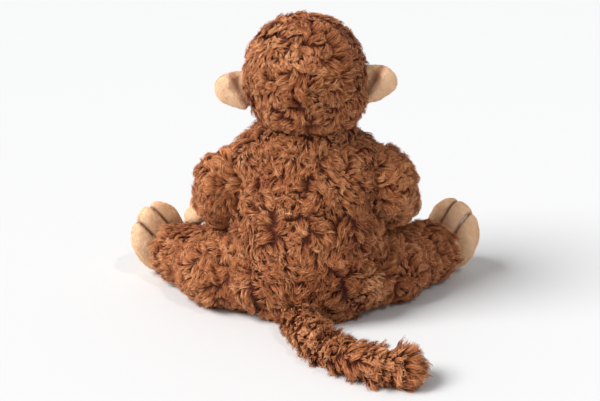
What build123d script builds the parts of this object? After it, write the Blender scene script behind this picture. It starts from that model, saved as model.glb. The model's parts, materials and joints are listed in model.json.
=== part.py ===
"""Stuffed monkey sitting with splayed legs: sewn plush panels over stuffing, joined body to body."""
from build123d import *
import os
from math import asin, atan2, cos, degrees, radians, sin, sqrt

# ---- Driving dimensions, in millimetres. The monkey faces -Y, its left is +X, its seat is at Z = 0.
SKIN = 3.0                      # thickness of a plush panel: backing cloth and pressed pile
GAP = 0.5                       # running space between two bodies that move past each other
BIG = 600.0                     # reach of the blocks that cut a shape in two

HEAD_CENTRE = (1.0, -2.0, 229.0)
HEAD_RADIUS = 54.0
HEAD_ROLL = 3.0                 # degrees, head leans towards its left shoulder
FACE_RADIUS = 37.0
FACE_DROP = 5.0                 # how far the face opening sits below the head's centre
MUZZLE_SIZE = (29.0, 23.0, 19.0)
MUZZLE_PLACE = (0.0, -45.0, -14.0)
EYE_RADIUS = 6.0
EYE_SPREAD = 14.0               # eye's distance to either side of the middle
EYE_RISE = 8.0
SHANK_RADIUS = 1.8
SHANK_PASS = 5.0                # how far the eye's shank passes the face panel
WASHER_RADIUS = 7.0
WASHER_THICKNESS = 1.5
WASHER_PLAY = 0.6
NOSE_SIZE = (8.0, 5.0, 5.5)
NOSE_SINK = 3.0                 # how far the nose's middle lies inside the tip of the muzzle
NOSE_RISE = 9.0
THREAD = 0.9                    # thickness of the embroidered mouth
SMILE_RADII = (15.0, 16.0)
SMILE_RISE = 8.0                # middle of the smile's arc above the middle of the muzzle
SMILE_DROP = 2.0                # the smile is the part of the arc this far below the muzzle's middle
EAR_SIZE = (30.0, 6.6, 18.0)
EAR_TILT = 10.0                 # degrees, outer end up
EAR_HOLLOW = (13.0, 9.0, 12.0)  # the cup on the ear's rear face, beside the head
EAR_HOLLOW_PLACE = (6.0, 11.0, 6.0)
EAR_DROP = 12.0                 # ear's centre below the head's centre
EAR_ROOT = 56.0                 # hinge line's distance to the side of the head's centre
EAR_TAB = 6.0                   # radius of the rolled root that sits in the head
EAR_TAB_HALF = 14.0             # half the length of that root

NECK_RADIUS = 46.0
NECK_RIM = 182.0                # height of the neck band's upper edge

TORSO_SECTIONS = (              # height, half width, half depth, centre's Y
    (0.0, 65.0, 50.0, 5.0),
    (26.0, 74.5, 59.0, 5.0),
    (58.0, 76.0, 61.0, 5.0),
    (91.0, 71.0, 58.0, 4.0),
    (129.0, 66.0, 53.0, 1.0),
    (152.0, 60.0, 49.0, -1.0),
    (167.5, 47.5, 46.5, -2.0),
)
TORSO_MIDDLE = -2.0             # the torso leans slightly to the monkey's right
TORSO_SIDE = 70.0               # flat on the torso's side that the arm lies against
SIDE_FLAT_FROM = 70.5           # height at which that flat starts
BELLY_SEAM = -12.0              # Y of the side seams between back and belly
SEAT_SEAM = 14.0                # height of the seam round the seat panel
BEAN_BAG = (12.5, 16.5, 11.0)
BEAN_BAG_PLACE = (0.0, 14.0, 17.0)
SEAT_BULGE = (28.0, 32.0, 32.0) # each rounded rear corner of the seat
SEAT_BULGE_PLACE = (46.0, 24.0, 34.0)

SHOULDER = (74.0, -4.0, 122.0)
SHOULDER_RADIUS = 28.0
ELBOW = (78.0, -24.0, 98.0)
ELBOW_RADIUS = 25.0
WRIST = (95.0, -54.0, 80.0)
WRIST_RADIUS = 16.0
HAND = (104.0, -69.0, 74.0)
HAND_RADIUS = 12.5
CUFF = 0.62                     # share of the forearm's length at which the tan hand starts
ARM_SEAM_TURN = 19.0            # degrees that the arm's long seam is turned towards the front
PALM_SEAM = (0.0, -0.5, 0.86)   # square to the seam between back and palm of the hand

HIP_SPREAD = 54.0               # hip's distance to either side of the middle
HIP_BACK = {"left": 12.0, "right": 6.0}         # hip's Y: the left leg is set further back
HIP_RADIUS = 34.0
LEG_HEADING = 49.5              # degrees from straight ahead, out to the side
ANKLE_REACH = 97.0              # distance from hip to ankle
ANKLE_RADIUS = 27.0
LEG_FLOOR = 0.8                 # height of the leg's underside
LEG_SWING = 14.0                # degrees either way
SEAM_REACH = 105.0              # distance from hip to the seam of the foot
FOOT_REACH = 127.0
FOOT_SIZE = (14.0, 32.0, 39.0)  # half thickness, half width, half length from heel to toes
FOOT_ROLL = {"left": 32.0, "right": 22.0}       # degrees that the toes lean outwards from upright

TAIL_ROUTE = ((8.0, 52.0, 14.0), (2.0, 96.0, 14.0), (-22.0, 138.0, 14.0), (-62.0, 164.0, 14.0),
              (-84.0, 167.0, 14.0))
TAIL_BENDS = (70.0, 80.0, 60.0)
TAIL_RADIUS = 12.5
TAIL_SWING = 22.0               # degrees either way
LEG_POCKET_REACH = 120.0        # how far the legs' openings run out from the hips
TAIL_POCKET_REACH = 60.0
UNDERCUT = 5.0                  # how far the openings for legs and tail run down below the floor

SIDES = {"left": 1, "right": -1}


# ---- Shapes
def limb(start, start_radius, end, end_radius):
    """Round-ended tapering limb from one ball to another."""
    along = Vector(*end) - Vector(*start)
    length = along.length
    lean = asin((start_radius - end_radius) / length)
    low = (start_radius * cos(lean), start_radius * sin(lean))
    high = (end_radius * cos(lean), length + end_radius * sin(lean))
    low_turn, high_turn = (lean - radians(90)) / 2, (lean + radians(90)) / 2
    low_middle = (start_radius * cos(low_turn), start_radius * sin(low_turn))
    high_middle = (end_radius * cos(high_turn), length + end_radius * sin(high_turn))
    outline = Curve() + [
        ThreePointArc((0, -start_radius), low_middle, low),
        Line(low, high),
        ThreePointArc(high, high_middle, (0, length + end_radius)),
        Line((0, length + end_radius), (0, -start_radius)),
    ]
    half = make_face(Plane.XZ * outline)
    return Plane(origin=start, z_dir=along) * revolve(half, Axis.Z)


def ellipsoid(half_sizes):
    return scale(Sphere(1.0), by=half_sizes)


def ball(centre, radius):
    return Pos(*centre) * Sphere(radius)


def half_space(origin, outward):
    """Large block on the outward side of a plane."""
    return Plane(origin=origin, z_dir=outward) * Box(BIG, BIG, BIG, align=(Align.CENTER, Align.CENTER, Align.MIN))


def mirrored(point, side):
    return (side * point[0],) + tuple(point[1:])


def heading(angle, side=1):
    """Level direction, turned from straight ahead (-Y) out to the given side."""
    return (side * sin(radians(angle)), -cos(radians(angle)))


def write(node, shape):
    solids = shape.solids()
    whole = solids[0] if len(solids) == 1 else Compound(children=list(solids))
    whole.label = node
    export_step(whole, f"parts/{node}.step")


# ---- Head, modelled upright about its own centre and then placed with its roll
def on_head(shape):
    return Pos(*HEAD_CENTRE) * Rot(0, HEAD_ROLL, 0) * shape


def ear_pocket(side, spare):
    """Groove in the head that holds the rolled root of an ear."""
    return Pos(side * EAR_ROOT, 0, -EAR_DROP) * Cylinder(EAR_TAB + spare, 2 * (EAR_TAB_HALF + spare))


def face_block(inset=0.0):
    """Round column through the front of the head that marks the face opening."""
    column = Cylinder(FACE_RADIUS - inset, BIG, align=(Align.CENTER, Align.CENTER, Align.MIN))
    return Pos(0, 0, -FACE_DROP) * Rot(90, 0, 0) * column


def muzzle(inset=0.0):
    return Pos(*MUZZLE_PLACE) * ellipsoid(tuple(size - inset for size in MUZZLE_SIZE))


def eye_frame(side):
    """Plane on the face at an eye, facing outward."""
    depth = sqrt(HEAD_RADIUS ** 2 - EYE_SPREAD ** 2 - EYE_RISE ** 2)
    spot = (side * EYE_SPREAD, -depth, EYE_RISE)
    return Plane(origin=spot, z_dir=spot)


def eye(side):
    """Domed safety eye with its shank."""
    dome = Sphere(EYE_RADIUS) & half_space((0, 0, 0), (0, 0, 1))
    dome -= Pos(0, 0, -HEAD_RADIUS) * Sphere(HEAD_RADIUS)
    shank = Cylinder(SHANK_RADIUS, SKIN + SHANK_PASS, align=(Align.CENTER, Align.CENTER, Align.MAX))
    return eye_frame(side) * (dome + Pos(0, 0, GAP) * shank)


def washer(side):
    """Locking washer on the shank, behind the face panel."""
    ring = Cylinder(WASHER_RADIUS, WASHER_THICKNESS, align=(Align.CENTER, Align.CENTER, Align.MAX))
    ring -= Cylinder(SHANK_RADIUS, BIG)
    return eye_frame(side) * Pos(0, 0, -SKIN - WASHER_PLAY) * ring


def smile():
    """Raised thread on the muzzle along a full circle, seen from the front."""
    inner, outer = (Cylinder(radius, BIG, align=(Align.CENTER, Align.CENTER, Align.MIN))
                    for radius in SMILE_RADII)
    arc = Pos(0, MUZZLE_PLACE[1], MUZZLE_PLACE[2] + SMILE_RISE) * Rot(90, 0, 0) * (outer - inner)
    return (muzzle(-THREAD) - muzzle()) & arc


def make_head():
    pockets = ear_pocket(1, GAP) + ear_pocket(-1, GAP)
    lined = ear_pocket(1, GAP + SKIN) + ear_pocket(-1, GAP + SKIN)
    filling = Sphere(HEAD_RADIUS - SKIN) - lined
    skin = Sphere(HEAD_RADIUS) - pockets - filling
    fur = skin - face_block()
    eyes = {name: eye(side) for name, side in SIDES.items()}
    washers = {name: washer(side) for name, side in SIDES.items()}
    face = (skin & face_block()) - muzzle()
    snout = (muzzle() - muzzle(SKIN)) - Sphere(HEAD_RADIUS - SKIN)
    snout_filling = muzzle(SKIN) - Sphere(HEAD_RADIUS - SKIN)
    _, muzzle_y, muzzle_z = MUZZLE_PLACE
    nose = Pos(0, muzzle_y - MUZZLE_SIZE[1] + NOSE_SINK, muzzle_z + NOSE_RISE) * ellipsoid(NOSE_SIZE)
    mouth = smile() & half_space((0, 0, muzzle_z - SMILE_DROP), (0, 0, -1))
    for name in SIDES:
        face -= eyes[name]
        filling = filling - eyes[name] - washers[name]
        write(f"{name}_eye", on_head(eyes[name]))
        write(f"{name}_eye_washer", on_head(washers[name]))
        write(f"head_{name}_panel", on_head(fur & half_space((0, 0, 0), (SIDES[name], 0, 0))))
    write("face_panel", on_head(face))
    write("muzzle_panel", on_head(snout))
    write("muzzle_stuffing", on_head(snout_filling))
    write("nose", on_head(nose - muzzle()))
    write("mouth_stitching", on_head(mouth))
    write("head_stuffing", on_head(filling))


def make_ears():
    for name, side in SIDES.items():
        bowl = ellipsoid(EAR_SIZE) - Pos(*EAR_HOLLOW_PLACE) * ellipsoid(EAR_HOLLOW)
        bowl = Rot(0, -EAR_TILT, 0) * bowl & half_space((0, 0, 0), (1, 0, 0))
        ear = bowl + Cylinder(EAR_TAB, 2 * EAR_TAB_HALF)
        if side < 0:
            ear = mirror(ear, Plane.YZ)
        ear = Pos(side * EAR_ROOT, 0, -EAR_DROP) * ear
        write(f"{name}_ear_back", on_head(ear & half_space((0, 0, 0), (0, 1, 0))))
        write(f"{name}_ear_front", on_head(ear & half_space((0, 0, 0), (0, -1, 0))))


# ---- Neck: a short stuffed roll that the head nods in and that turns on the torso
def make_neck():
    floor = TORSO_SECTIONS[-1][0] + GAP
    column = Cylinder(NECK_RADIUS, NECK_RIM - floor, align=(Align.CENTER, Align.CENTER, Align.MIN))
    column = Pos(HEAD_CENTRE[0], HEAD_CENTRE[1], floor) * column
    column -= ball(HEAD_CENTRE, HEAD_RADIUS + GAP)
    core = Pos(HEAD_CENTRE[0], HEAD_CENTRE[1], 0) * Cylinder(NECK_RADIUS - SKIN, BIG)
    write("neck_band", column - core)
    write("neck_stuffing", column & core)


# ---- Torso
def torso_shape(inset):
    """Pear-shaped trunk, drawn in by the given amount all round."""
    floor = TORSO_SECTIONS[0][0]
    top = TORSO_SECTIONS[-1][0]
    rings = []
    for height, half_width, half_depth, middle in TORSO_SECTIONS:
        level = min(max(height, floor + inset), top - inset)
        rings.append(Pos(TORSO_MIDDLE, middle, level) * Ellipse(half_width - inset, half_depth - inset))
    trunk = loft(rings)
    for side in SIDES.values():
        bulge = ellipsoid(tuple(size - inset for size in SEAT_BULGE))
        trunk += Pos(*mirrored(SEAT_BULGE_PLACE, side)) * bulge
    for side in SIDES.values():
        beyond = half_space((side * (TORSO_SIDE - inset), 0, 0), (side, 0, 0))
        trunk -= beyond & Pos(0, 0, SIDE_FLAT_FROM - inset) * Box(
            BIG, BIG, BIG, align=(Align.CENTER, Align.CENTER, Align.MIN))
    return trunk


def swing_pocket(pivot, height, radius, reach, angles):
    """Space swept by a round limb that swings level about an upright axis, open underneath."""
    x, y = pivot
    tall = height + UNDERCUT
    pocket = Pos(x, y, -UNDERCUT) * Cylinder(radius, tall, align=(Align.CENTER, Align.CENTER, Align.MIN))
    for angle in angles:
        slot = Box(reach, 2 * radius, tall, align=(Align.MIN, Align.CENTER, Align.MIN))
        pocket += Pos(x, y, -UNDERCUT) * Rot(0, 0, angle) * slot
    return pocket


def leg_pocket(name, spare):
    out = heading(LEG_HEADING, SIDES[name])
    yaw = degrees(atan2(out[1], out[0]))
    hip = (SIDES[name] * HIP_SPREAD, HIP_BACK[name])
    return swing_pocket(hip, LEG_FLOOR + 2 * HIP_RADIUS + spare, HIP_RADIUS + spare, LEG_POCKET_REACH,
                        (yaw - LEG_SWING, yaw, yaw + LEG_SWING))


def tail_pocket(spare):
    x, y, z = TAIL_ROUTE[0]
    after = TAIL_ROUTE[1]
    yaw = degrees(atan2(after[1] - y, after[0] - x))
    return swing_pocket((x, y), z + TAIL_RADIUS + spare, TAIL_RADIUS + spare, TAIL_POCKET_REACH,
                        (yaw - TAIL_SWING, yaw, yaw + TAIL_SWING))


def make_torso():
    pockets = {spare: leg_pocket("left", spare) + leg_pocket("right", spare) + tail_pocket(spare)
               for spare in (GAP, GAP + SKIN)}
    bean_bag = Pos(*BEAN_BAG_PLACE) * ellipsoid(BEAN_BAG)
    filling = torso_shape(SKIN) - pockets[GAP + SKIN]
    skin = torso_shape(0) - pockets[GAP] - filling
    above_seat = half_space((0, 0, SEAT_SEAM), (0, 0, 1))
    behind = half_space((0, BELLY_SEAM, 0), (0, 1, 0))
    upper = skin & above_seat
    back = upper & behind
    write("seat_panel", skin - above_seat)
    write("belly_panel", upper - behind)
    write("back_left_panel", back & half_space((TORSO_MIDDLE, 0, 0), (1, 0, 0)))
    write("back_right_panel", back & half_space((TORSO_MIDDLE, 0, 0), (-1, 0, 0)))
    write("torso_stuffing", filling - bean_bag)
    write("seat_bean_bag", bean_bag)


# ---- Arms
def arm_shape(side, inset):
    shoulder, elbow, wrist, hand = (mirrored(point, side) for point in (SHOULDER, ELBOW, WRIST, HAND))
    arm = limb(shoulder, SHOULDER_RADIUS - inset, elbow, ELBOW_RADIUS - inset)
    arm += limb(elbow, ELBOW_RADIUS - inset, wrist, WRIST_RADIUS - inset)
    arm += limb(wrist, WRIST_RADIUS - inset, hand, HAND_RADIUS - inset)
    return arm & half_space((side * (TORSO_SIDE + GAP + inset), 0, 0), (side, 0, 0))


def make_arms():
    for name, side in SIDES.items():
        elbow, wrist = Vector(*mirrored(ELBOW, side)), Vector(*mirrored(WRIST, side))
        cuff = elbow + (wrist - elbow) * CUFF
        filling = arm_shape(side, SKIN)
        skin = arm_shape(side, 0) - filling
        beyond_cuff = half_space(cuff, wrist - elbow)
        fur, hand = skin - beyond_cuff, skin & beyond_cuff
        turn = radians(ARM_SEAM_TURN)
        outer = half_space(elbow, (side * cos(turn), sin(turn), 0))
        upper = half_space(cuff, PALM_SEAM)
        write(f"{name}_arm_outer_panel", fur & outer)
        write(f"{name}_arm_inner_panel", fur - outer)
        write(f"{name}_hand_back", hand & upper)
        write(f"{name}_hand_palm", hand - upper)
        write(f"{name}_arm_stuffing", filling)


# ---- Legs
def leg_point(name, reach, height):
    """Point over or on the leg's middle line at a distance from the hip."""
    out = heading(LEG_HEADING, SIDES[name])
    return (SIDES[name] * HIP_SPREAD + reach * out[0], HIP_BACK[name] + reach * out[1], height)


def leg_shape(name, inset):
    side = SIDES[name]
    out = heading(LEG_HEADING, side)
    hip = leg_point(name, 0, LEG_FLOOR + HIP_RADIUS)
    ankle = leg_point(name, ANKLE_REACH, LEG_FLOOR + ANKLE_RADIUS)
    leg = limb(hip, HIP_RADIUS - inset, ankle, ANKLE_RADIUS - inset)
    yaw = degrees(atan2(out[1], out[0]))
    roll = radians(FOOT_ROLL[name])
    half_height = sqrt((FOOT_SIZE[2] * cos(roll)) ** 2 + (FOOT_SIZE[1] * sin(roll)) ** 2)
    foot = Pos(*leg_point(name, FOOT_REACH, LEG_FLOOR + half_height))
    turned = Rot(0, 0, yaw) * Rot(-side * FOOT_ROLL[name], 0, 0)
    return leg + foot * turned * ellipsoid(tuple(size - inset for size in FOOT_SIZE))


def make_legs():
    for name, side in SIDES.items():
        out = heading(LEG_HEADING, side)
        filling = leg_shape(name, SKIN)
        skin = leg_shape(name, 0) - filling
        beyond_seam = half_space(leg_point(name, SEAM_REACH, 0), (out[0], out[1], 0))
        beyond_middle = half_space(leg_point(name, FOOT_REACH, 0), (out[0], out[1], 0))
        fur, foot = skin - beyond_seam, skin & beyond_seam
        front = half_space(leg_point(name, 0, 0), (out[1] * side, -out[0] * side, 0))
        write(f"{name}_leg_front_panel", fur & front)
        write(f"{name}_leg_rear_panel", fur - front)
        write(f"{name}_foot_top", foot - beyond_middle)
        write(f"{name}_foot_sole", foot & beyond_middle)
        write(f"{name}_leg_stuffing", filling)


# ---- Tail
def tail_shape(inset):
    route = FilletPolyline(*TAIL_ROUTE, radius=TAIL_BENDS)
    ring = Plane(origin=route @ 0, z_dir=route % 0) * Circle(TAIL_RADIUS - inset)
    tail = sweep(ring, path=route)
    for end in (TAIL_ROUTE[0], TAIL_ROUTE[-1]):
        tail += ball(end, TAIL_RADIUS - inset)
    return tail


def make_tail():
    filling = tail_shape(SKIN)
    write("tail_skin", tail_shape(0) - filling)
    write("tail_stuffing", filling)


os.makedirs("parts", exist_ok=True)
make_head()
make_ears()
make_neck()
make_torso()
make_arms()
make_legs()
make_tail()
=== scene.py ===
"""Looks of the stuffed monkey: skins with real pile, and soft feet, hands, ears and face. Metres."""
import json
import math

import bmesh
import bpy
import numpy as np
from mathutils import Matrix, Vector
from mathutils.bvhtree import BVHTree
from mathutils.kdtree import KDTree


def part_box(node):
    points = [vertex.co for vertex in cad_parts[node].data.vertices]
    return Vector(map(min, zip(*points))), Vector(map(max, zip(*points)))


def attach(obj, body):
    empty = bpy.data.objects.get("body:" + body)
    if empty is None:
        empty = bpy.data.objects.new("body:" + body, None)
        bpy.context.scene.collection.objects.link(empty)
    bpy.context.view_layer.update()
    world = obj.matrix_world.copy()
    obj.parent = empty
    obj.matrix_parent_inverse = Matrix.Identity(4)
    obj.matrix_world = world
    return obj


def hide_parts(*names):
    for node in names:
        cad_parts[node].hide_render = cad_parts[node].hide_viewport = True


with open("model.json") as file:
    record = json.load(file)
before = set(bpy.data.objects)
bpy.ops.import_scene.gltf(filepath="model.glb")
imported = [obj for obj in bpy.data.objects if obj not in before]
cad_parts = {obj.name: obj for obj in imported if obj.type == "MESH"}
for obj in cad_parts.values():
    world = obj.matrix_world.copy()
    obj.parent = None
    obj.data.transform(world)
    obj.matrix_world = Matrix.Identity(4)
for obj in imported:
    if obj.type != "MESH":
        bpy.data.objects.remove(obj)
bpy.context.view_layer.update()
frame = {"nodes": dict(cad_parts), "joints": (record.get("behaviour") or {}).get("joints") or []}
MM = 0.001
SIDES = {"left": 1.0, "right": -1.0}
UV_LAYER = "OFBake"
PILE_TRIANGLES = 186000         # most triangles of cloth and pile in one piece
FUR_FILL, WADDING_FILL, BEANS_FILL = 0.8, 0.85, 0.7     # how full the padded pieces are
FLOOR_GAP = 0.2 * MM            # the cloth stays this far above the floor
CLOTH_PRESSURE = 4.0            # of the filling on the skins
ROOT_PAINTED_SHADE = 0.04               # painted shade of the cloth deep under long pile, on the scale from root to tip

BODY_FILLING = {
    "torso": ("torso_stuffing",),
    "neck": ("neck_stuffing",),
    "head": ("head_stuffing", "muzzle_stuffing"),
    "left_arm": ("left_arm_stuffing",),
    "right_arm": ("right_arm_stuffing",),
    "left_leg": ("left_leg_stuffing",),
    "right_leg": ("right_leg_stuffing",),
    "tail": ("tail_stuffing",),
}
BODY_PANELS = {
    "torso": ("back_left_panel", "back_right_panel", "belly_panel", "seat_panel"),
    "neck": ("neck_band",),
    "head": ("head_left_panel", "head_right_panel", "face_panel", "muzzle_panel"),
    "left_arm": ("left_arm_outer_panel", "left_arm_inner_panel", "left_hand_back", "left_hand_palm"),
    "right_arm": ("right_arm_outer_panel", "right_arm_inner_panel", "right_hand_back", "right_hand_palm"),
    "left_leg": ("left_leg_front_panel", "left_leg_rear_panel", "left_foot_top", "left_foot_sole"),
    "right_leg": ("right_leg_front_panel", "right_leg_rear_panel", "right_foot_top", "right_foot_sole"),
    "tail": ("tail_skin",),
}


# ---- Small helpers
def middle(*nodes):
    """Middle of the box round some CAD nodes, in metres."""
    lows, highs = zip(*(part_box(node) for node in nodes))
    low = Vector(min(corner[k] for corner in lows) for k in range(3))
    high = Vector(max(corner[k] for corner in highs) for k in range(3))
    return (low + high) / 2


def joint_place(name):
    """Where a joint's axis passes, in metres."""
    return Vector(next(joint["pos_m"] for joint in frame["joints"] if joint["name"] == name))


def seed_of(node):
    """A steady seed of each node's own."""
    return sum(map(ord, node))


def unit(vectors):
    """The same directions with a length of one."""
    return vectors / np.maximum(np.linalg.norm(vectors, axis=-1, keepdims=True), 1e-12)


def new_object(name, mesh):
    piece = bpy.data.objects.new(name, mesh)
    bpy.context.scene.collection.objects.link(piece)
    return piece


def remove(piece):
    mesh = piece.data
    bpy.data.objects.remove(piece)
    bpy.data.meshes.remove(mesh)


def bake_modifiers(piece):
    """Replaces the piece's mesh with what its modifiers make of it."""
    graph = bpy.context.evaluated_depsgraph_get()
    mesh = bpy.data.meshes.new_from_object(piece.evaluated_get(graph))
    piece.modifiers.clear()
    old = piece.data
    piece.data = mesh
    bpy.data.meshes.remove(old)


def vertices_of(mesh):
    places = np.empty(len(mesh.vertices) * 3)
    mesh.vertices.foreach_get("co", places)
    return places.reshape(-1, 3)


def set_vertices(mesh, places):
    mesh.vertices.foreach_set("co", places.ravel())
    mesh.update()


def normals_of(mesh):
    normals = np.empty(len(mesh.vertices) * 3)
    mesh.vertices.foreach_get("normal", normals)
    return normals.reshape(-1, 3)


def triangles_of(mesh):
    mesh.calc_loop_triangles()
    corners = np.empty(len(mesh.loop_triangles) * 3, dtype=np.int64)
    mesh.loop_triangles.foreach_get("vertices", corners)
    return corners.reshape(-1, 3)


def mesh_from(name, places, triangles, uv):
    """Smooth mesh from arrays, with one UV layer that carries tone across and the place along a hair."""
    mesh = bpy.data.meshes.new(name)
    mesh.vertices.add(len(places))
    mesh.vertices.foreach_set("co", places.astype(np.float32).ravel())
    mesh.loops.add(3 * len(triangles))
    mesh.loops.foreach_set("vertex_index", triangles.astype(np.int32).ravel())
    mesh.polygons.add(len(triangles))
    mesh.polygons.foreach_set("loop_start", np.arange(0, 3 * len(triangles), 3, dtype=np.int32))
    mesh.polygons.foreach_set("use_smooth", np.ones(len(triangles), dtype=bool))
    mesh.update(calc_edges=True)
    layer = mesh.uv_layers.new(name=UV_LAYER)
    layer.data.foreach_set("uv", uv[triangles.ravel()].astype(np.float32).ravel())
    return mesh


def waves(points, size, seed, count=14):
    """Smooth repeatable noise of about -1 to 1 whose bumps are about the given size across."""
    rng = np.random.default_rng(seed)
    directions = unit(rng.normal(size=(count, 3)))
    pitch = math.pi / size * rng.uniform(0.6, 1.5, count)
    shift = rng.uniform(0, 2 * math.pi, count)
    return np.sin(points @ (directions * pitch[:, None]).T + shift).sum(axis=1) / math.sqrt(count / 2)


# ---- Body forms: the CAD panels joined into one soft closed form per body
def ellipsoid_into(form, centre, radii, turn=None):
    """Adds an ellipsoid to a bmesh; centre and radii in metres."""
    place = Matrix.Translation(centre)
    if turn is not None:
        place = place @ turn.to_4x4()
    place = place @ Matrix.Diagonal((*radii, 1.0))
    bmesh.ops.create_uvsphere(form, u_segments=48, v_segments=32, radius=1.0, matrix=place)


def soft_form(name, nodes, voxel, extras=(), smoothing=6):
    """One closed skin round some CAD nodes and extra ellipsoids."""
    form = bmesh.new()
    for node in nodes:
        form.from_mesh(frame["nodes"][node].data)
    for extra in extras:
        ellipsoid_into(form, *extra)
    mesh = bpy.data.meshes.new(name)
    form.to_mesh(mesh)
    form.free()
    piece = new_object(name, mesh)
    remesh = piece.modifiers.new("voxels", "REMESH")
    remesh.mode = "VOXEL"
    remesh.voxel_size = voxel
    smooth = piece.modifiers.new("smooth", "SMOOTH")
    smooth.factor = 0.5
    smooth.iterations = smoothing
    bake_modifiers(piece)
    return piece


def inflate(piece, pressure, most, frames=20):
    """Fills the form like a stuffed skin by cloth simulation; no point moves further than most."""
    before = vertices_of(piece.data)
    cloth = piece.modifiers.new("cloth", "CLOTH")
    cloth.settings.quality = 4
    cloth.settings.mass = 0.3
    cloth.settings.tension_stiffness = 12
    cloth.settings.compression_stiffness = 6
    cloth.settings.bending_stiffness = 0.4
    cloth.settings.use_pressure = True
    cloth.settings.uniform_pressure_force = pressure
    cloth.settings.effector_weights.gravity = 0
    cloth.point_cache.frame_start = 1
    cloth.point_cache.frame_end = frames
    scene = bpy.context.scene
    for step in range(1, frames + 1):
        scene.frame_set(step)
    bake_modifiers(piece)
    scene.frame_set(1)
    move = vertices_of(piece.data) - before
    length = np.linalg.norm(move, axis=1, keepdims=True)
    set_vertices(piece.data, before + move * np.minimum(1, most / np.maximum(length, 1e-9)))


def surface(piece):
    """Places, normals and triangles of a piece's mesh."""
    return vertices_of(piece.data), normals_of(piece.data), triangles_of(piece.data)


def nearest_panel(mesh, nodes):
    """For each triangle, which of the CAD nodes lies closest."""
    places, corners = vertices_of(mesh), triangles_of(mesh)
    centres = places[corners].mean(axis=1)
    reach = np.empty((len(nodes), len(corners)))
    for row, node in enumerate(nodes):
        panel = frame["nodes"][node].data
        tree = BVHTree.FromPolygons([v.co for v in panel.vertices], [p.vertices for p in panel.polygons])
        reach[row] = [tree.find_nearest(Vector(centre))[3] for centre in centres]
    return reach.argmin(axis=0)


# ---- Cloth under the pile
def cloth_shell(places, normals, corners, thickness):
    """Closed thin shell from a patch of skin: outer face, inner face and the cut edge."""
    used = np.unique(corners)
    renumber = np.full(len(places), -1)
    renumber[used] = np.arange(len(used))
    outer_tris = renumber[corners]
    outer = places[used]
    inner = outer - normals[used] * thickness
    count = len(used)
    edges = np.concatenate([outer_tris[:, [0, 1]], outer_tris[:, [1, 2]], outer_tris[:, [2, 0]]])
    keys = np.sort(edges, axis=1)
    _, first, seen = np.unique(keys, axis=0, return_index=True, return_counts=True)
    rim = edges[first[seen == 1]]
    walls = np.concatenate([
        np.stack([rim[:, 1], rim[:, 0], rim[:, 0] + count], axis=1),
        np.stack([rim[:, 1], rim[:, 0] + count, rim[:, 1] + count], axis=1)])
    triangles = np.concatenate([outer_tris, outer_tris[:, ::-1] + count, walls])
    return np.concatenate([outer, inner]), triangles


# ---- Pile
class Pile:
    """How one kind of pile grows. Lengths in metres."""

    def __init__(self, length, lift, tuft, lock, width, sway, flow, wave=0.10, swirl_size=20 * MM,
                 gather=0.22, tuck=0.6, uneven=0.22, levels=(0.0, 0.3, 0.55, 0.8)):
        self.length = length            # of a hair
        self.lift = lift                # share of the length that stands off the cloth
        self.tuft = tuft                # distance between the middles of tufts
        self.lock = lock                # distance between the middles of locks
        self.width = width              # of a hair at its root
        self.sway = sway                # how far tufts turn away from the flow, in radians
        self.flow = flow                # direction the pile is brushed in
        self.wave = wave                # sideways curl, as a share of the length
        self.swirl_size = swirl_size    # distance across a swirl of tufts
        self.gather = gather            # how strongly locks draw together at the tip of a tuft
        self.tuck = tuck                # how strongly hairs draw together at the tip of a lock
        self.uneven = uneven            # how much the length differs from tuft to tuft
        self.levels = levels            # places of the joints along a hair, before its tip


def double_areas(places, corners):
    """Twice the area of each triangle."""
    a, b, c = (places[corners[:, k]] for k in range(3))
    return np.linalg.norm(np.cross(b - a, c - a), axis=1)


def scatter(places, normals, corners, count, rng):
    """Random points on a patch, evenly by area: places and normals, and the patch's area."""
    areas = double_areas(places, corners)
    chosen = rng.choice(len(corners), size=count, p=areas / areas.sum())
    u, v = rng.random(count), rng.random(count)
    folded = u + v > 1
    u[folded], v[folded] = 1 - u[folded], 1 - v[folded]
    weights = np.stack([1 - u - v, u, v], axis=1)[:, :, None]
    picked = corners[chosen]
    return ((places[picked] * weights).sum(axis=1), unit((normals[picked] * weights).sum(axis=1)),
            areas.sum() / 2)


def nearest(points, centres):
    """For each point, which centre is the closest."""
    tree = KDTree(len(centres))
    for index, centre in enumerate(centres.tolist()):
        tree.insert(centre, index)
    tree.balance()
    find = tree.find
    return np.array([find(point)[1] for point in points.tolist()])


def turned(vectors, axes, angles):
    """Vectors turned about unit axes that they are square to."""
    return vectors * np.cos(angles)[:, None] + np.cross(axes, vectors) * np.sin(angles)[:, None]


def flatten(vectors, up):
    """The part of each vector that lies in the surface."""
    return vectors - up * (vectors * up).sum(axis=1, keepdims=True)


HEAD_ON = 0.15                  # a flow with less than this share in the surface meets it head on
ASIDE = (0.31, 0.87, 0.38)      # square to this lies the pile where the flow meets the surface head on


def along_surface(flow, points, normals):
    """Direction of the flow in the surface; flow is one direction or gives one for each point."""
    raw = flow(points) if callable(flow) else np.broadcast_to(np.array(flow, float), points.shape)
    flat = flatten(raw, normals)
    weak = np.linalg.norm(flat, axis=1) < HEAD_ON
    flat[weak] = np.cross(normals[weak], ASIDE)
    return unit(flat)


# How hairs differ: turns and bends as spreads in radians, lifts and lengths as ranges of shares
TUFT_TURN, LOCK_TURN, HAIR_TURN = 0.3, 0.32, 0.14
TUFT_BEND, LOCK_BEND = 0.3, 0.3
TUFT_LIFT, LOCK_LIFT = (0.7, 1.3), (0.75, 1.25)
LOCK_LENGTH, HAIR_LENGTH = (0.8, 1.2), (0.75, 1.1)
HAIR_PHASE, HAIR_TWIST = 0.35, 0.5
LIFT_LIMITS = (0.1, 0.97)

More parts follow.
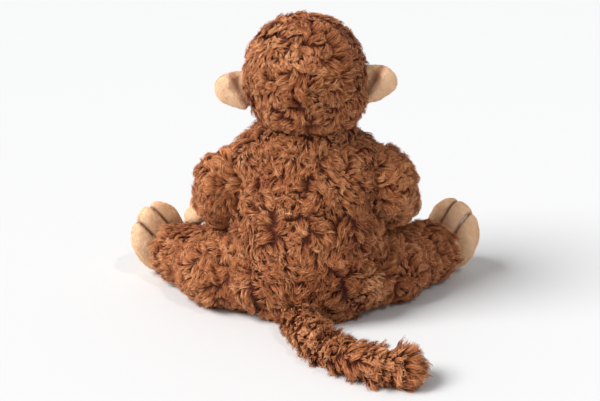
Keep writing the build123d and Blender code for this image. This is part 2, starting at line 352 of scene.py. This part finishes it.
# The shape of a hair
HAIR_ARCH = 0.62 * math.pi      # stretch of a sine wave that it rises along
LEAN_POWER = 1.3                # how late along the hair it leans over
DRAW_POWER = 1.2                # how late along the hair it is drawn in to its lock
BEND_REACH = 0.7                # sideways reach for a bend of one, as a share of the length
CURL = 5.0                      # radians of sideways curl along the hair
TAPER = 0.4                     # how much narrower it gets
LOW_ROOT, LOW_TIP, LOW_EDGE = 0.5 * MM, 0.9 * MM, 0.15 * MM     # least heights above the floor

# Tone of the dye, and how it differs over the skin and from tuft to tuft, lock to lock and hair to hair
MEAN_TONE, SKIN_TONE, TUFT_TONE, LOCK_TONE, HAIR_TONE = 0.5, 0.06, 0.07, 0.08, 0.19
TONE_PATCH = 30 * MM            # distance across a lighter or darker patch of skin
TONE_LIMITS = (0.03, 0.97)
ROOT_V, TIP_V = 0.06, 0.98      # where a hair starts and ends in the UV layer


class Growth:
    """Hairs on a patch: locks of hairs, gathered in tufts."""

    def __init__(self, places, normals, corners, pile, count, seed):
        self.pile, self.count, self.seed = pile, count, seed
        self.rng = rng = np.random.default_rng(seed)
        self.roots, self.up, area = scatter(places, normals, corners, count, rng)
        self.locks = min(count, max(8, int(area / pile.lock ** 2)))
        self.tufts = min(self.locks, max(4, int(area / pile.tuft ** 2)))
        lock_of = rng.choice(count, size=self.locks, replace=False)
        self.tuft_of = rng.choice(count, size=self.tufts, replace=False)
        self.lock_root, self.tuft_root = self.roots[lock_of], self.roots[self.tuft_of]
        self.in_lock = nearest(self.roots, self.lock_root)
        self.in_tuft = nearest(self.lock_root, self.tuft_root)[self.in_lock]

    def joints(self, length_at):
        """Places along each hair, and how much its tuft and lock change its tone."""
        pile, rng, count, up = self.pile, self.rng, self.count, self.up
        in_lock, in_tuft = self.in_lock, self.in_tuft
        tuft_up = up[self.tuft_of]
        comb = along_surface(pile.flow, self.tuft_root, tuft_up)
        swirl = pile.sway * waves(self.tuft_root, pile.swirl_size, self.seed + 1)
        comb = turned(comb, tuft_up, swirl + rng.normal(0, TUFT_TURN, self.tufts))
        tuft_length = rng.uniform(1 - pile.uneven, 1 + pile.uneven, self.tufts)
        tuft_bend = rng.normal(0, TUFT_BEND, self.tufts)
        tuft_lift = rng.uniform(*TUFT_LIFT, self.tufts)
        tuft_tone = rng.normal(0, 1, self.tufts)
        lock_turn = rng.normal(0, LOCK_TURN, self.locks)
        lock_length = rng.uniform(*LOCK_LENGTH, self.locks)
        lock_bend = rng.normal(0, LOCK_BEND, self.locks)
        lock_lift = rng.uniform(*LOCK_LIFT, self.locks)
        lock_phase = rng.uniform(0, 2 * math.pi, self.locks)
        lock_tone = rng.normal(0, 1, self.locks)

        ahead = unit(flatten(comb[in_tuft], up))
        ahead = turned(ahead, up, lock_turn[in_lock] + rng.normal(0, HAIR_TURN, count))
        aside = np.cross(up, ahead)
        length = pile.length * tuft_length[in_tuft] * lock_length[in_lock] * rng.uniform(*HAIR_LENGTH, count)
        length *= length_at(self.roots)
        lift = np.clip(pile.lift * tuft_lift[in_tuft] * lock_lift[in_lock], *LIFT_LIMITS)
        bend = tuft_bend[in_tuft] + lock_bend[in_lock]
        phase = lock_phase[in_lock] + rng.normal(0, HAIR_PHASE, count)
        pull = self.pull()

        levels = np.array([*pile.levels, 1.0])
        joints = []
        for level in levels:
            rise = length * lift * math.sin(HAIR_ARCH * level)
            reach = length * np.sqrt(1 - lift ** 2) * level ** LEAN_POWER
            curl = pile.wave * level * np.sin(phase + CURL * level)
            side = length * (bend * BEND_REACH * level ** 2 + curl)
            joints.append(self.roots + up * rise[:, None] + ahead * reach[:, None] + aside * side[:, None]
                          - pull * level ** DRAW_POWER)
        joints = np.stack(joints, axis=1)
        lowest = LOW_ROOT + (LOW_TIP - LOW_ROOT) * levels
        joints[:, :, 2] = np.maximum(joints[:, :, 2], lowest[None])
        return joints, TUFT_TONE * tuft_tone[in_tuft] + LOCK_TONE * lock_tone[in_lock]

    def pull(self):
        """What is taken off the place of a hair's tip to draw it in to its lock and its tuft."""
        to_lock = flatten(self.roots - self.lock_root[self.in_lock], self.up)
        to_tuft = flatten(self.lock_root[self.in_lock] - self.tuft_root[self.in_tuft], self.up)
        far = np.linalg.norm(to_tuft, axis=1, keepdims=True)
        to_tuft *= np.minimum(1, 1.2 * self.pile.tuft / np.maximum(far, 1e-9))
        return to_lock * self.pile.tuck + to_tuft * self.pile.gather

    def ribbons(self, joints):
        """Flat hairs: two vertices at each joint and one at the tip."""
        body = len(self.pile.levels)
        tangents = unit(np.gradient(joints, axis=1))
        across = unit(np.cross(tangents, self.up[:, None, :]) + 1e-6)
        tops = np.cross(across, tangents)
        twist = self.rng.normal(0, HAIR_TWIST, self.count)[:, None, None]
        across = across * np.cos(twist) + tops * np.sin(twist)
        taper = 1 - TAPER * np.array(self.pile.levels)
        offset = across[:, :body] * (self.pile.width / 2) * taper[None, :, None]
        edges = np.stack([joints[:, :body] - offset, joints[:, :body] + offset], axis=2)
        hair = np.concatenate([edges.reshape(self.count, body * 2, 3), joints[:, body:, :]], axis=1)
        hair[:, :, 2] = np.maximum(hair[:, :, 2], LOW_EDGE)
        return hair

    def triangles(self):
        tip = 2 * len(self.pile.levels)
        pattern = [(tip - 2, tip - 1, tip)]
        for joint in range(0, tip - 2, 2):
            pattern += [(joint, joint + 1, joint + 3), (joint, joint + 3, joint + 2)]
        return (np.array(pattern)[None] + (tip + 1) * np.arange(self.count)[:, None, None]).reshape(-1, 3)

    def uv(self, group_tone):
        """In the UV layer a hair's tone is the place across, and how far along the hair is the place up."""
        body = len(self.pile.levels)
        tone = (MEAN_TONE + SKIN_TONE * waves(self.roots, TONE_PATCH, self.seed + 2) + group_tone
                + HAIR_TONE * self.rng.normal(0, 1, self.count))
        uv = np.empty((self.count, 2 * body + 1, 2))
        uv[:, :, 0] = np.clip(tone, *TONE_LIMITS)[:, None]
        uv[:, :-1, 0] += np.tile([-0.005, 0.005], body)[None]       # a hair has some width in the layer too
        uv[:, :-1, 1] = np.repeat(self.pile.levels, 2)[None] * (TIP_V - ROOT_V) + ROOT_V
        uv[:, -1, 1] = TIP_V
        return uv


def even_length(points):
    """Pile of one length all over."""
    return np.ones(len(points))


def grow(places, normals, corners, pile, count, seed, length_at=even_length):
    """Flat hairs on a patch: vertices, triangles and UV of tone and place along the hair."""
    growth = Growth(places, normals, corners, pile, count, seed)
    joints, group_tone = growth.joints(length_at)
    hair = growth.ribbons(joints)
    return hair.reshape(-1, 3), growth.triangles(), growth.uv(group_tone).reshape(-1, 2)


def triangles_per_hair(pile):
    """Two for each stretch between joints, and one at the tip."""
    return 2 * len(pile.levels) - 1


def dress(piece, body, node, fill):
    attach(piece, body)
    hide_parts(node)


def plush(name, node, body, skin, pile, material, density=None, length_at=even_length,
          cloth=1.4 * MM, shade=None):
    """One sewn panel: a closed shell of cloth with pile rooted in it, standing for a CAD node.

    skin holds the places, normals and triangles of the patch; density is in hairs per square millimetre,
    without one the piece takes all the hairs that it may; the last argument paints cloth and pile one shade
    by place, and without it the cloth takes the painted shade deep under the pile's roots.
    """
    places, normals, corners = skin
    seed = seed_of(node)
    shell, shell_tris = cloth_shell(places, normals, corners, cloth)
    shell[:, 2] = np.maximum(shell[:, 2], FLOOR_GAP)
    # painted shade of the cloth: by place, or else that of the roots deep under long pile
    shell_shade = shade(shell) if shade else np.full(len(shell), ROOT_PAINTED_SHADE)
    shell_uv = np.stack([np.clip(0.5 + 0.15 * waves(shell, 20 * MM, seed + 3), 0.05, 0.95),
                         shell_shade + 0.01 * waves(shell, 4 * MM, seed + 4)], axis=1)
    count = (PILE_TRIANGLES - len(shell_tris)) // triangles_per_hair(pile)
    if density:
        area = double_areas(places, corners).sum() / 2
        count = int(min(count, area / MM ** 2 * density))
    hairs, hair_tris, hair_uv = grow(places, normals, corners, pile, count, seed, length_at)
    # short pile takes the painted shade of its place instead of darker roots
    if shade:
        hair_uv[:, 1] = shade(hairs)
    mesh = mesh_from(name, np.concatenate([shell, hairs]),
                     np.concatenate([shell_tris, hair_tris + len(shell)]),
                     np.concatenate([shell_uv, hair_uv]))
    mesh.materials.append(material)
    dress(new_object(name, mesh), body, node, FUR_FILL)


# ---- Materials
def linear(red, green, blue):
    """Colour from 8-bit display values of 10 and more."""
    return (*(((value / 255 + 0.055) / 1.055) ** 2.4 for value in (red, green, blue)), 1)


def grey(value):
    return (value, value, value, 1)


def new_material(name, roughness, specular=0.3):
    material = bpy.data.materials.new(name)
    material.use_nodes = True
    shader = material.node_tree.nodes["Principled BSDF"]
    shader.inputs["Roughness"].default_value = roughness
    shader.inputs["Specular IOR Level"].default_value = specular
    return material, material.node_tree, shader


def plain_material(name, colour, roughness, specular=0.3):
    material, _, shader = new_material(name, roughness, specular)
    shader.inputs["Base Color"].default_value = colour
    return material


def ramp(tree, stops):
    node = tree.nodes.new("ShaderNodeValToRGB")
    while len(node.color_ramp.elements) < len(stops):
        node.color_ramp.elements.new(0.5)
    for element, (place, colour) in zip(node.color_ramp.elements, stops):
        element.position = place
        element.color = colour
    return node


def pile_material(name, tones, shade, roughness, sheen):
    """Dyed fibre: tone varies from hair to hair; a second ramp paints shade, darkest at a hair's root deep in
    the pile.
    """
    material, tree, shader = new_material(name, roughness, 0.25)
    where = tree.nodes.new("ShaderNodeUVMap")
    where.uv_map = UV_LAYER
    split = tree.nodes.new("ShaderNodeSeparateXYZ")
    tree.links.new(where.outputs["UV"], split.inputs["Vector"])
    tone = ramp(tree, tones)
    # painted shade by the UV's second coordinate: at the roots deep in long pile, and on tan plush along sewn
    # lines (with their darker stitching) and in the ears' fold crease
    depth = ramp(tree, shade)
    tree.links.new(split.outputs["X"], tone.inputs["Fac"])
    tree.links.new(split.outputs["Y"], depth.inputs["Fac"])
    mix = tree.nodes.new("ShaderNodeMix")
    mix.data_type = "RGBA"
    mix.blend_type = "MULTIPLY"
    mix.inputs["Factor"].default_value = 1.0
    tree.links.new(tone.outputs["Color"], mix.inputs["A"])
    tree.links.new(depth.outputs["Color"], mix.inputs["B"])
    tree.links.new(mix.outputs["Result"], shader.inputs["Base Color"])
    shader.inputs["Sheen Weight"].default_value = sheen
    shader.inputs["Sheen Roughness"].default_value = 0.5
    return material


def thread_material():
    """Dark embroidery: fine stitches side by side."""
    material, tree, shader = new_material("dark_thread", 0.55)
    where = tree.nodes.new("ShaderNodeTexCoord")
    stitches = tree.nodes.new("ShaderNodeTexWave")
    stitches.inputs["Scale"].default_value = 900
    stitches.inputs["Distortion"].default_value = 1.5
    bump = tree.nodes.new("ShaderNodeBump")
    bump.inputs["Distance"].default_value = 0.3 * MM
    tree.links.new(where.outputs["Object"], stitches.inputs["Vector"])
    tree.links.new(stitches.outputs["Fac"], bump.inputs["Height"])
    tree.links.new(bump.outputs["Normal"], shader.inputs["Normal"])
    shader.inputs["Base Color"].default_value = linear(46, 26, 18)
    return material


# painted shade: fibres darker towards their roots, deep among them
FIBRE_SHADE = ((0.0, grey(0.8)), (1.0, grey(1.0)))
BROWN = pile_material(
    "brown_fur",
    tones=((0.05, linear(140, 72, 38)), (0.5, linear(208, 130, 76)), (0.95, linear(250, 190, 136))),
    # painted shade: darkest at the hairs' roots and the cloth deep in the pile, gone near the tips
    shade=((0.0, linear(105, 62, 52)), (0.4, linear(196, 172, 160)), (0.9, grey(1.0))),
    roughness=0.6, sheen=0.1)
TAN = pile_material(
    "tan_plush",
    tones=((0.05, linear(236, 197, 154)), (0.5, linear(251, 217, 180)), (0.95, linear(252, 220, 184))),
    # painted shade: dark in sewn grooves (with their stitching) and the ears' fold crease; plain plush at
    # 0.85 and up is unshaded
    shade=((0.0, linear(120, 80, 60)), (0.5, linear(215, 195, 185)), (0.85, grey(1.0))),
    roughness=0.8, sheen=0.2)
WHITE = pile_material(
    "stuffing", tones=((0.0, grey(0.78)), (1.0, grey(0.95))), shade=FIBRE_SHADE, roughness=0.9, sheen=0.2)
BAG_CLOTH = pile_material(
    "bag_cloth", tones=((0.0, linear(196, 188, 172)), (1.0, linear(226, 220, 206))), shade=FIBRE_SHADE,
    roughness=0.85, sheen=0.1)


# ---- Brown fur
DOWN = (0.0, 0.0, -1.0)
BACK_PILE = Pile(length=9.5 * MM, lift=0.46, tuft=9.5 * MM, lock=3.2 * MM, width=0.46 * MM,
                 sway=1.2, flow=DOWN)
HEAD_PILE = Pile(length=8.0 * MM, lift=0.46, tuft=8.0 * MM, lock=2.8 * MM, width=0.42 * MM,
                 sway=1.4, flow=DOWN)

# Ellipsoids that fill out the forms: middle and radii
SHOULDER_CROWN = ((0.044, -0.002, 0.150), (0.024, 0.034, 0.021))
TRUNK_TOP = ((-0.001, -0.002, 0.160), (0.047, 0.045, 0.014))
NECK_ROOT = ((0.001, -0.002, 0.167), (0.047, 0.047, 0.012))
NAPE = ((-0.003, 0.002, -0.019), (0.052, 0.050, 0.036))         # from the middle of the nod
SHOULDER_CAP = ((-0.008, 0.0, 0.006), (0.026, 0.027, 0.027))    # from the shoulder
THIGH_RADII = (0.044, 0.034, 0.027)
THIGH_OUT, THIGH_DROP = 0.034, 0.007            # of its middle from the hip, along the leg and down
THIGH_BACK = {"left": 0.012, "right": 0.005}    # how far the thigh's flattened side bulges to the rear
LEG_HEADING = math.radians(49.5)                # from straight ahead


def limb_pile(flow):
    return Pile(length=9.5 * MM, lift=0.45, tuft=9.0 * MM, lock=3.0 * MM, width=0.44 * MM,
                sway=0.9, flow=flow)


def fur_body(body, brown, pile, voxel=3 * MM, extras=(), fill=3 * MM, length_at=even_length):
    """Skins and pile of a body's brown panels, over one form of all its panels and filling."""
    nodes = (*BODY_PANELS[body], *BODY_FILLING[body])
    form = soft_form(f"{body}_form", nodes, voxel, extras)
    inflate(form, CLOTH_PRESSURE, fill)
    places, normals, corners = surface(form)
    owners = brown if body == "neck" else nodes     # the neck's filling shows nowhere
    belongs = nearest_panel(form.data, owners)
    for node in brown:
        skin = places, normals, corners[belongs == owners.index(node)]
        plush(node.removesuffix("_panel") + "_fur", node, body, skin, pile, BROWN,
              length_at=length_at)
    remove(form)


def beside(side, place):
    """A place given for the left side, on the side asked for."""
    return Vector((side * place[0], place[1], place[2]))


def torso_fur():
    crown, radii = SHOULDER_CROWN
    shoulders = [(beside(side, crown), radii) for side in SIDES.values()]
    fur_body("torso", BODY_PANELS["torso"], BACK_PILE, extras=[*shoulders, TRUNK_TOP])


def head_fur():
    offset, radii = NAPE
    nape = (joint_place("head_nod") + Vector(offset), radii)
    fur_body("head", BODY_PANELS["head"][:2], HEAD_PILE, voxel=2.5 * MM, extras=[nape])


def neck_fur():
    fur_body("neck", BODY_PANELS["neck"], HEAD_PILE, extras=[NECK_ROOT])


def arm_fur(side_name):
    side = SIDES[side_name]
    arm = f"{side_name}_arm"
    offset, radii = SHOULDER_CAP
    cap = (joint_place(f"{arm}_raise") + beside(side, offset), radii)
    fur_body(arm, BODY_PANELS[arm][:2], limb_pile((0.2 * side, -0.75, -0.6)), extras=[cap])


def leg_directions(side):
    """Along the leg from the hip, and square to it towards the rear, both level."""
    out = Vector((side * math.sin(LEG_HEADING), -math.cos(LEG_HEADING), 0))
    behind = Vector((side * math.cos(LEG_HEADING), math.sin(LEG_HEADING), 0))
    return out, behind


def leg_fur(side_name):
    side = SIDES[side_name]
    leg = f"{side_name}_leg"
    hip = joint_place(f"{leg}_spread")
    out, behind = leg_directions(side)
    centre = hip + out * THIGH_OUT + behind * THIGH_BACK[side_name] - Vector((0, 0, THIGH_DROP))
    thigh = (centre, THIGH_RADII, Matrix.Rotation(math.atan2(out.y, out.x), 3, "Z"))
    fur_body(leg, BODY_PANELS[leg][:2], limb_pile((0.8 * side, -0.55, -0.25)), extras=[thigh])


# ---- Tail
TAIL_ROUTE = np.array(((8.0, 52.0), (2.0, 96.0), (-22.0, 138.0), (-62.0, 164.0), (-84.0, 167.0))) * MM
TAIL_STEPS = np.diff(TAIL_ROUTE, axis=0)
TAIL_RING = 20 * MM             # from one flared ring of pile to the next
RING_SHORT, RING_LONG = 0.38, 1.13      # share of the pile's length between rings, and on them
ROOT_SHORT, TIP_LONG = 0.85, 1.2        # the same at the tail's root, and near its tip
TIP_REACH = 170 * MM            # along the tail, to where the pile is longest


def tail_flow(points):
    """Direction towards the tip, at each point."""
    middles = (TAIL_ROUTE[:-1] + TAIL_ROUTE[1:]) / 2
    gaps = np.linalg.norm(points[:, None, :2] - middles[None], axis=2)
    flow = np.zeros_like(points)
    flow[:, :2] = TAIL_STEPS[gaps.argmin(axis=1)]
    return unit(flow)


def tail_reach(points):
    """Distance along the tail, at each point."""
    lengths = np.linalg.norm(TAIL_STEPS, axis=1)
    starts = np.concatenate([[0], np.cumsum(lengths)[:-1]])
    flat = points[:, None, :2] - TAIL_ROUTE[:-1][None]
    share = np.clip((flat * TAIL_STEPS[None]).sum(axis=2) / lengths ** 2, 0, 1)
    gap = np.linalg.norm(flat - share[:, :, None] * TAIL_STEPS[None], axis=2)
    chosen = gap.argmin(axis=1)
    row = np.arange(len(points))
    return starts[chosen] + share[row, chosen] * lengths[chosen]


def tail_bunches(points):
    """Pile length along the tail: it flares in rings and grows longer towards the tip."""
    reach = tail_reach(points)
    ring = 0.5 + 0.5 * np.cos(2 * math.pi * reach / TAIL_RING)
    tip = np.clip(reach / TIP_REACH, 0, 1)
    return (RING_SHORT + (RING_LONG - RING_SHORT) * ring) * (ROOT_SHORT + (TIP_LONG - ROOT_SHORT) * tip)


def tail_fur():
    pile = Pile(length=10.0 * MM, lift=0.70, tuft=8.0 * MM, lock=2.8 * MM, width=0.46 * MM, sway=0.5,
                flow=tail_flow, gather=0.4)
    fur_body("tail", BODY_PANELS["tail"], pile, voxel=2 * MM, fill=1 * MM, length_at=tail_bunches)


# ---- Tan plush: short pile on feet, hands, ears and face
TAN_PILE = Pile(length=1.3 * MM, lift=0.75, tuft=6 * MM, lock=1.2 * MM, width=0.16 * MM, sway=1.5, flow=DOWN,
                wave=0, gather=0.02, tuck=0.2, levels=(0.0,))
TAN_DENSITY = 9.0               # hairs per square millimetre
STITCH_AND_PAINTED_GROOVE_SHADE, PLUSH_SHADE = 0.12, 0.85      # of a sewn line, its darker stitching with painted shade in its groove, and of the plain plush beside it, unshaded
LUMP, LUMP_SIZE = 0.35 * MM, 9 * MM         # height and width of the filling's lumps under thin plush
FOOT_ROLL = {"left": math.radians(32), "right": math.radians(22)}
WRIST, HAND = (95.0, -54.0, 80.0), (104.0, -69.0, 74.0)     # on the left, in millimetres
HAND_TIP = {"left": [((0.112, -0.066, 0.063), (0.011, 0.013, 0.008))], "right": []}     # reaches past the arm


# plain plush, with no painted shade
def plain_shade(points):
    return np.full(len(points), PLUSH_SHADE)


class Digits:
    """Toes or fingers marked out by sewn lines that pull both faces of a paw together."""

    GROOVE = 1.9 * MM           # from a sewn line to where its groove ends
    STITCH = 1.3 * MM           # from a sewn line to where its darker stitching and painted groove shade fade
    RUN_IN = 8 * MM             # from a line's start to its full depth
    FIRST_DEPTH = 0.35          # share of the full depth at the line's start

    def __init__(self, middle, along, lateral, spacing, start, depth, puff):
        self.middle, self.along, self.lateral = (np.array(v) for v in (middle, along, lateral))
        self.spacing = spacing          # from the paw's middle line to a sewn line
        self.start = start              # where the lines start, measured towards the tips
        self.depth = depth              # of the groove at a line
        self.puff = puff                # how far a digit bulges between lines

    def measure(self, points):
        """Distance to the sewn lines, share of the full groove, and distance from the middle line."""
        offset = points - self.middle
        along, lateral = offset @ self.along, offset @ self.lateral
        side = np.abs(np.abs(lateral) - self.spacing)
        before = np.maximum(self.start - along, 0)
        return np.hypot(side, before), np.clip((along - self.start) / self.RUN_IN, 0, 1), lateral

    def shape(self, points, normals):
        distance, grown, lateral = self.measure(points)
        depth = self.depth * (self.FIRST_DEPTH + (1 - self.FIRST_DEPTH) * grown)
        pull = depth * np.exp(-(distance / self.GROOVE) ** 1.3)
        bulge = self.puff * grown * np.abs(np.cos(0.5 * math.pi * lateral / self.spacing)) ** 0.5
        return points + normals * (bulge - pull)[:, None]

    # darkens the plush along each sewn line: partly the stitching's darker thread, partly painted shade in
    # the groove
    def shade(self, points):
        near_line = np.exp(-(self.measure(points)[0] / self.STITCH) ** 2)
        return PLUSH_SHADE - (PLUSH_SHADE - STITCH_AND_PAINTED_GROOVE_SHADE) * near_line


class EarFold:
    """Cupped ear: a puffed outer lobe folded back from the dented part beside the head, with painted crease
    shade.
    """

    FOLD_OUT, FOLD_RISE = 10 * MM, 3 * MM       # a point on the fold line, from the ear's root
    OUTWARD, UPWARD = 0.88, -0.474              # direction square to the fold line, to the lobe's side
    PUFF, DENT = 2.0 * MM, 2.2 * MM             # of the lobe, and of the part beside the head
    RUN_IN = 5 * MM                             # from the dented part to the full lobe
    CREASE = 2.5 * MM                           # from the fold line to the darkest of its painted shade, towards the head
    SHADE_LOBE, SHADE_HEAD = 2 * MM, 7 * MM     # how far the painted crease shade reaches either side
    PAINTED_CREASE_SHADE = 0.45                              # how much darker the painted crease shade is

    def __init__(self, side_name):
        self.root = np.array(joint_place(f"{side_name}_ear_fold"))
        self.side = SIDES[side_name]

    def beyond_fold(self, points):
        """Distance to the lobe's side of the fold line, negative on the head's side."""
        out = self.side * (points[:, 0] - self.root[0]) - self.FOLD_OUT
        rise = points[:, 2] - self.root[2] - self.FOLD_RISE
        return self.OUTWARD * out + self.UPWARD * rise

    def shape(self, points, normals):
        lobe = np.clip(0.5 + self.beyond_fold(points) / self.RUN_IN, 0, 1)
        swell = (self.PUFF + self.DENT) * lobe - self.DENT
        moved = points.copy()
        moved[:, 1] += swell * np.clip(normals[:, 1], 0, 1)
        return moved

    # painted shade in the crease between the lobe and the dented part beside the head
    def shade(self, points):
        fold = self.beyond_fold(points) + self.CREASE
        reach = np.where(fold > 0, self.SHADE_LOBE, self.SHADE_HEAD)
        return PLUSH_SHADE - self.PAINTED_CREASE_SHADE * np.exp(-(fold / reach) ** 2)


def tan_part(body, nodes, wanted, voxel, detail=None, smoothing=5, extras=()):
    """Tan skins of a body: nodes and extra ellipsoids make the form, wanted says which nodes to show."""
    form = soft_form(f"{body}_tan_form", nodes, voxel, extras, smoothing)
    places, normals, corners = surface(form)
    belongs = nearest_panel(form.data, nodes)
    places = places + normals * (LUMP * waves(places, LUMP_SIZE, seed=5))[:, None]
    # painted shade: none on plain plush, or the detail's painted groove or crease shade
    shade = plain_shade
    if detail:
        shade = detail.shade
        places = detail.shape(places, normals)
        set_vertices(form.data, places)
        normals = normals_of(form.data)
    for node in wanted:
        skin = places, normals, corners[belongs == nodes.index(node)]
        plush(node + "_plush", node, body, skin, TAN_PILE, TAN, density=TAN_DENSITY,
              cloth=1.0 * MM, shade=shade)
    remove(form)


def foot(side_name):
    side = SIDES[side_name]
    leg = f"{side_name}_leg"
    shown = (f"{side_name}_foot_top", f"{side_name}_foot_sole")
    hip, middle_of_foot = joint_place(f"{leg}_spread"), middle(*shown)
    out = leg_directions(side)[0]
    across = Vector((-out.y, out.x, 0))
    up = Vector((0, 0, 1))
    reach = (middle_of_foot - hip).dot(out)
    lean = FOOT_ROLL[side_name]
    toes = Digits(middle=Vector((hip.x + reach * out.x, hip.y + reach * out.y, middle_of_foot.z)),
                  along=math.cos(lean) * up + side * math.sin(lean) * across,
                  lateral=math.cos(lean) * across - side * math.sin(lean) * up,
                  spacing=10.5 * MM, start=3 * MM, depth=4.2 * MM, puff=1.2 * MM)
    nodes = (*shown, f"{leg}_front_panel", f"{leg}_rear_panel", f"{leg}_stuffing")
    tan_part(leg, nodes, shown, 1.6 * MM, toes)


def hand(side_name):
    arm = f"{side_name}_arm"
    wrist, palm = (beside(SIDES[side_name], place) * MM for place in (WRIST, HAND))
    along = (palm - wrist).normalized()
    lateral = along.cross(Vector((0, 0, 1))).normalized()
    fingers = Digits(palm, along, lateral, spacing=4.2 * MM, start=-7 * MM, depth=2.6 * MM, puff=0.8 * MM)
    shown = (f"{side_name}_hand_back", f"{side_name}_hand_palm")
    nodes = (*shown, f"{arm}_outer_panel", f"{arm}_inner_panel", f"{arm}_stuffing")
    tan_part(arm, nodes, shown, 1.3 * MM, fingers, extras=HAND_TIP[side_name])


def ear(side_name):
    nodes = (f"{side_name}_ear_back", f"{side_name}_ear_front")
    tan_part(f"{side_name}_ear", nodes, nodes, 1.2 * MM, EarFold(side_name), smoothing=4)


def face():
    shown = ("face_panel", "muzzle_panel")
    nodes = (*shown, "head_left_panel", "head_right_panel", "head_stuffing", "muzzle_stuffing")
    tan_part("head", nodes, shown, 1.6 * MM)


# ---- Filling
WADDING_PILE = Pile(length=3.0 * MM, lift=0.3, tuft=8 * MM, lock=3 * MM, width=0.25 * MM, sway=2.5, flow=DOWN,
                    wave=0.3)
WADDING_HAIRS = 4000


def wadding(body, node):
    """A lump of polyester fibre, a little smaller than the room its skin leaves."""
    form = soft_form(f"{node}_form", (node,), 3 * MM, smoothing=4)
    places, normals, _ = surface(form)
    places = places - normals * (0.8 * MM + 0.7 * MM * waves(places, 14 * MM, 9))[:, None]
    set_vertices(form.data, places)
    _, normals, corners = surface(form)
    hairs, hair_tris, hair_uv = grow(places, normals, corners, WADDING_PILE, WADDING_HAIRS, seed_of(node))
    # the lump's own surface takes the painted shade half-way between root and tip
    uv = np.stack([0.5 + 0.2 * waves(places, 6 * MM, 3), 0.5 + 0.05 * waves(places, 3 * MM, 4)], axis=1)
    mesh = mesh_from(node + "_wadding", np.concatenate([places, hairs]),
                     np.concatenate([corners, hair_tris + len(places)]), np.concatenate([uv, hair_uv]))
    mesh.materials.append(WHITE)
    piece = new_object(node + "_wadding", mesh)
    remove(form)
    dress(piece, body, node, WADDING_FILL)


def bean_bag():
    """Small cloth bag of pellets in the seat, its cloth dented by the pellets."""
    form = soft_form("seat_bean_bag_form", ("seat_bean_bag",), 0.9 * MM, smoothing=3)
    places, normals, corners = surface(form)
    places = places + normals * (0.35 * MM * waves(places, 2.2 * MM, 21) - 0.4 * MM)[:, None]
    uv = np.stack([0.5 + 0.1 * waves(places, 3 * MM, 3), 0.7 + 0.05 * waves(places, 2 * MM, 4)], axis=1)
    mesh = mesh_from("seat_bean_bag_cloth", places, corners, uv)
    mesh.materials.append(BAG_CLOTH)
    piece = new_object("seat_bean_bag_cloth", mesh)
    remove(form)
    dress(piece, "torso", "seat_bean_bag", BEANS_FILL)


# ---- Eyes and stitching: CAD pieces shown as they are
def kept(node, material):
    piece = frame["nodes"][node]
    piece.data.materials.clear()
    piece.data.materials.append(material)


def eyes_and_stitching():
    eye_plastic = plain_material("eye_plastic", linear(18, 12, 10), 0.06, 0.5)
    washer_plastic = plain_material("washer_plastic", linear(225, 224, 220), 0.45)
    dark_thread = thread_material()
    for side_name in SIDES:
        kept(f"{side_name}_eye", eye_plastic)
        kept(f"{side_name}_eye_washer", washer_plastic)
    kept("nose", dark_thread)
    kept("mouth_stitching", dark_thread)


# ---- Camera, floor and light
CAMERA_DISTANCE = 1.25
CAMERA_ELEVATION = math.radians(20)
CAMERA_FOCUS, CAMERA_AIM = (0, 0, 0.130), (0.0057, 0, 0.105)
CAMERA_LENS = 78.7
FLOOR_REACH = 8.0
FLOOR_COLOUR = grey(0.725)
SKY_COLOUR, SKY_STRENGTH = (0.97, 0.98, 1.0, 1), 0.38
SUNS = (("window", (0.86, 0.34, 0.95), 30, 3.9),        # name, direction to it, width in degrees, strength
        ("lamp", (-0.4, 0.5, 0.87), 3, 0.45))


def make_camera():
    data = bpy.data.cameras.new("camera")
    camera = bpy.data.objects.new("camera", data)
    bpy.context.scene.collection.objects.link(camera)
    toward = Vector((0, math.cos(CAMERA_ELEVATION), math.sin(CAMERA_ELEVATION)))
    camera.location = Vector(CAMERA_FOCUS) + CAMERA_DISTANCE * toward
    camera.rotation_euler = (Vector(CAMERA_AIM) - camera.location).to_track_quat("-Z", "Y").to_euler()
    data.lens = CAMERA_LENS
    data.clip_start, data.clip_end = 0.05, 50
    bpy.context.scene.camera = camera


def make_floor():
    mesh = bpy.data.meshes.new("floor")
    corners = [(x * FLOOR_REACH, y * FLOOR_REACH, 0) for x, y in ((-1, -1), (1, -1), (1, 1), (-1, 1))]
    mesh.from_pydata(corners, [], [(0, 1, 2, 3)])
    mesh.materials.append(plain_material("floor", FLOOR_COLOUR, 0.6))
    new_object("floor", mesh)


def make_light():
    world = bpy.data.worlds.new("world")
    bpy.context.scene.world = world
    world.use_nodes = True
    sky = world.node_tree.nodes["Background"]
    sky.inputs["Color"].default_value = SKY_COLOUR
    sky.inputs["Strength"].default_value = SKY_STRENGTH
    for name, toward, width, strength in SUNS:
        data = bpy.data.lights.new(name, "SUN")
        data.angle = math.radians(width)
        data.energy = strength
        light = bpy.data.objects.new(name, data)
        bpy.context.scene.collection.objects.link(light)
        light.rotation_euler = Vector(toward).to_track_quat("Z", "Y").to_euler()
    bpy.context.scene.view_settings.view_transform = "Standard"


# ---- The toy
torso_fur()
head_fur()
neck_fur()
for side_name in SIDES:
    arm_fur(side_name)
    leg_fur(side_name)
tail_fur()
for side_name in SIDES:
    foot(side_name)
    hand(side_name)
    ear(side_name)
face()
for body, nodes in BODY_FILLING.items():
    for node in nodes:
        wadding(body, node)
bean_bag()
eyes_and_stitching()

make_camera()
make_floor()
make_light()
